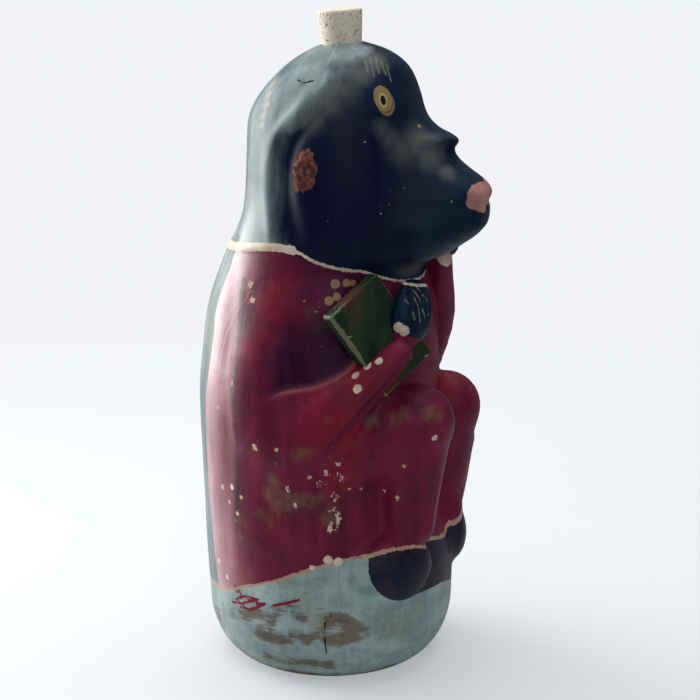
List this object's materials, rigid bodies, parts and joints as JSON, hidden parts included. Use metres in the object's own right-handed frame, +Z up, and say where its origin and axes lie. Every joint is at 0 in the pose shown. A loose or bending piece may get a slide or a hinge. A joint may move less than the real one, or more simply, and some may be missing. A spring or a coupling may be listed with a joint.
{
  "type": "monkey effigy bottle with cork",
  "caption": "Hollow painted clay bottle shaped as a seated robed monkey holding a book, with a tapered cork in the crown of its head.",
  "frame": {"origin": "middle of the flat foot, on the surface that the bottle stands on", "axes": "+Z up through the crown, the monkey faces -Y and its right side is towards -X"},
  "size_m": [0.1452, 0.1552, 0.3451],
  "materials": {
    "robe_paint": "burnished maroon paint, worn",
    "base_paint": "pale turquoise paint, rubbed through",
    "skin_paint": "burnished blue-black paint",
    "book_paint": "dark green paint",
    "foot_paint": "dark paint",
    "bare_clay": "rough broken terracotta",
    "cork": "dry natural cork"
  },
  "bodies": {
    "vessel": {"torso_pot": "robe_paint", "floor_slab": "base_paint", "head_pot": "skin_paint", "right_arm": "robe_paint", "left_arm": "robe_paint", "right_hand": "skin_paint", "left_hand": "skin_paint", "book": "book_paint", "right_foot": "foot_paint", "left_foot": "foot_paint", "right_ear": "bare_clay", "left_ear": "skin_paint"},
    "stopper": {"cork_stopper": "cork"}
  },
  "joints": [
    {"name": "cork_draw", "type": "slide", "parent": "vessel", "child": "stopper", "axis": [0, 0.0698, 0.9976], "range_m": [0, 0.06]}
  ]
}
